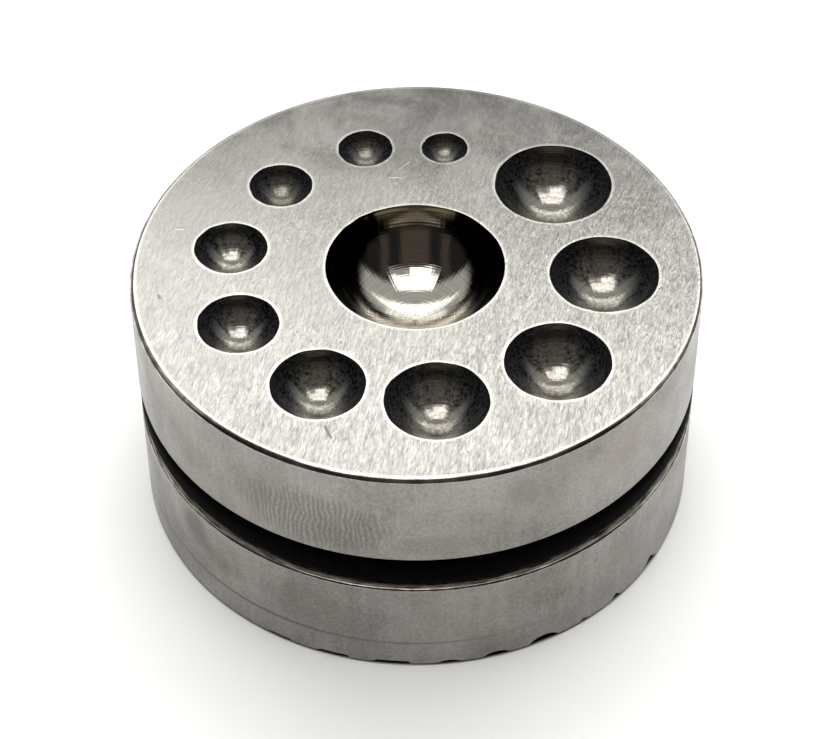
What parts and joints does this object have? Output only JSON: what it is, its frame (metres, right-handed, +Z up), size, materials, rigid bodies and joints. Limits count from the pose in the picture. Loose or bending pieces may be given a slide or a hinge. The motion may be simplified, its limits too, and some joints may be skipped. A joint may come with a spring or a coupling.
{
  "type": "dapping block",
  "caption": "Round steel dapping block with graded ball cavities in its top face, swage channels across its base and a black rubber ring in its waist groove.",
  "frame": {"origin": "centre of the block's base, on the surface that it stands on", "axes": "+Z up along the block's own axis; -Y is the front, where the ends of the base channels show; +X to the right, towards the larger cavities"},
  "size_m": [0.0636, 0.0636, 0.0305],
  "materials": {
    "tool_steel": "ground bright on the flats and the side, polished in the cavities",
    "black_rubber": "smooth matt moulded cord"
  },
  "bodies": {
    "root": {"steel_block": "tool_steel", "rubber_ring": "black_rubber"}
  },
  "joints": []
}
